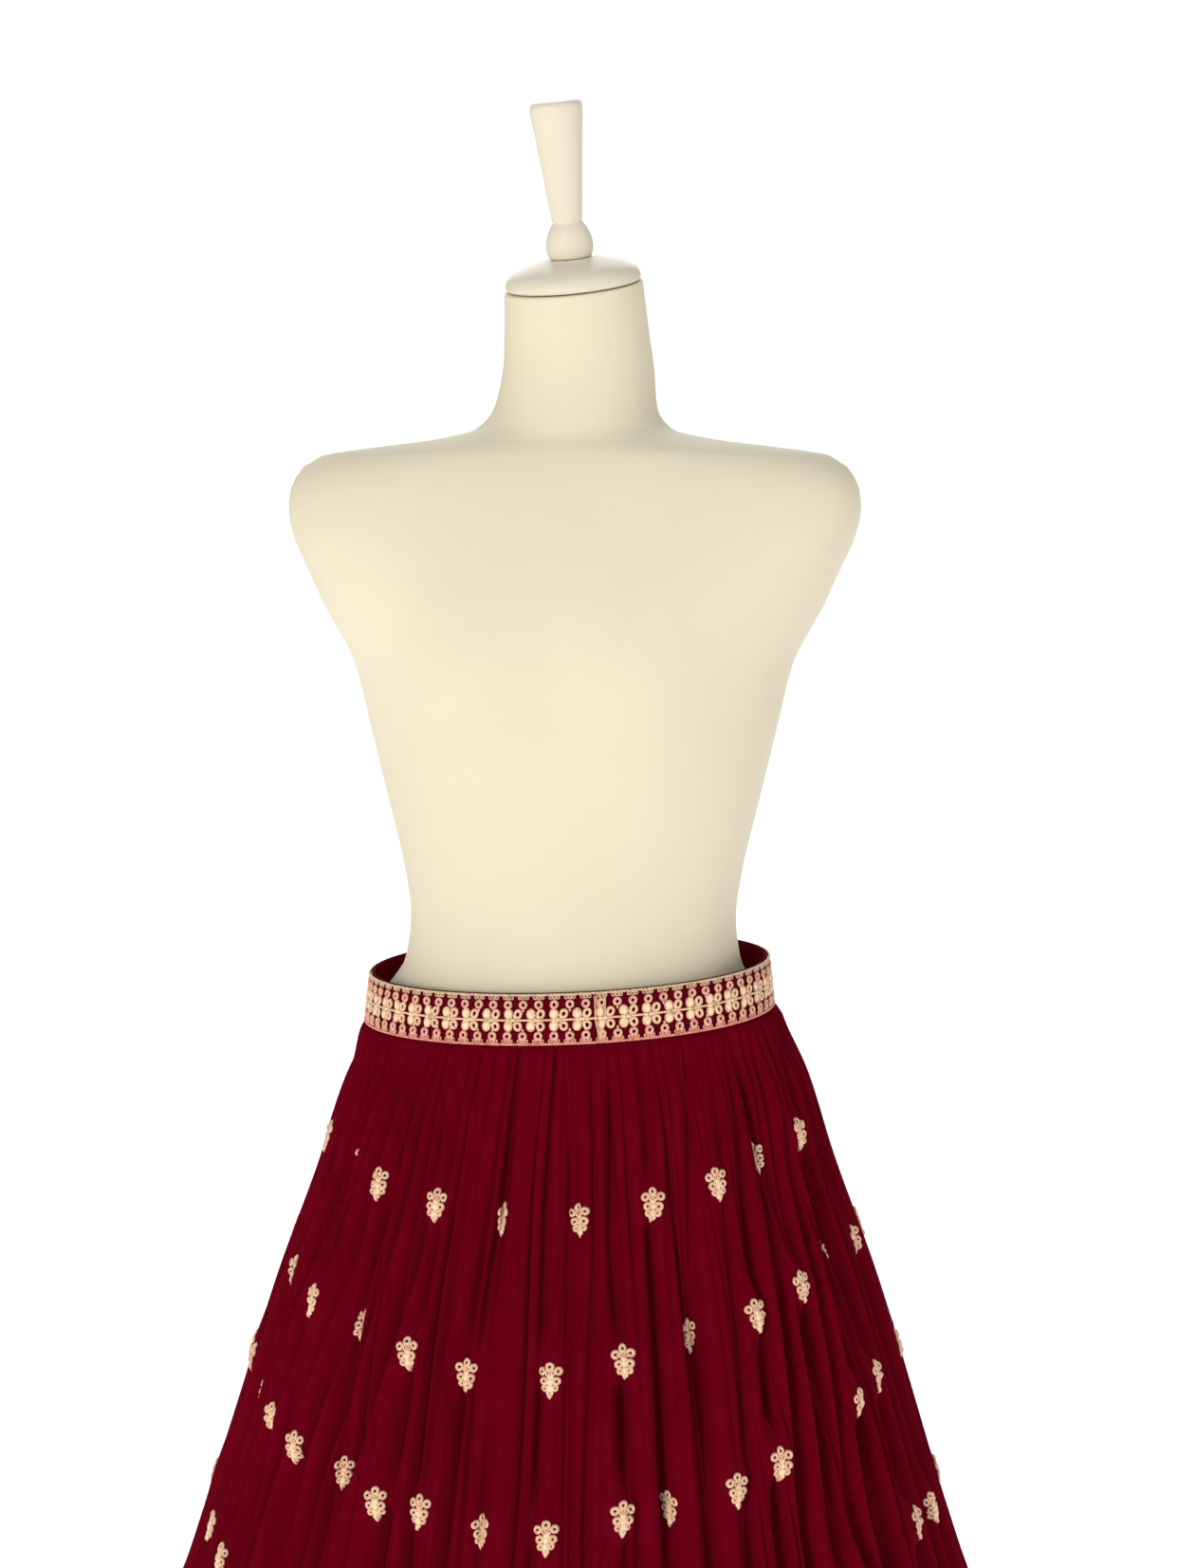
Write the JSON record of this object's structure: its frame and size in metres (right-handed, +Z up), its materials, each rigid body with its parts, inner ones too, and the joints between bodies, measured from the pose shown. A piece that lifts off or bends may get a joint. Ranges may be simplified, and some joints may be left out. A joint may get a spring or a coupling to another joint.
{
  "type": "gathered lehenga skirt on a limbless dress form",
  "caption": "Maroon floor-length lehenga skirt gathered into a straight embroidered belt, scattered with small sprigs, standing on a cream limbless dress form with a turned handle.",
  "frame": {"origin": "on the floor, at the middle of the round foot's flat underside", "axes": "+Z up, the front of the form and the skirt faces -Y, +X is to the right as one looks at the front"},
  "size_m": [0.9638, 0.9097, 1.6713],
  "materials": {
    "skirt_maroon": "matte",
    "belt_embroidered": "satin",
    "form_cream": "matte",
    "cap_cream": "satin",
    "stand_cream_metal": "satin"
  },
  "bodies": {
    "root": {"skirt_front": "skirt_maroon", "skirt_back": "skirt_maroon", "belt_front": "belt_embroidered", "belt_back": "belt_embroidered", "form_torso": "form_cream", "neck_cap": "cap_cream", "finial": "cap_cream", "stand_pole": "stand_cream_metal", "stand_base": "stand_cream_metal"}
  },
  "joints": []
}
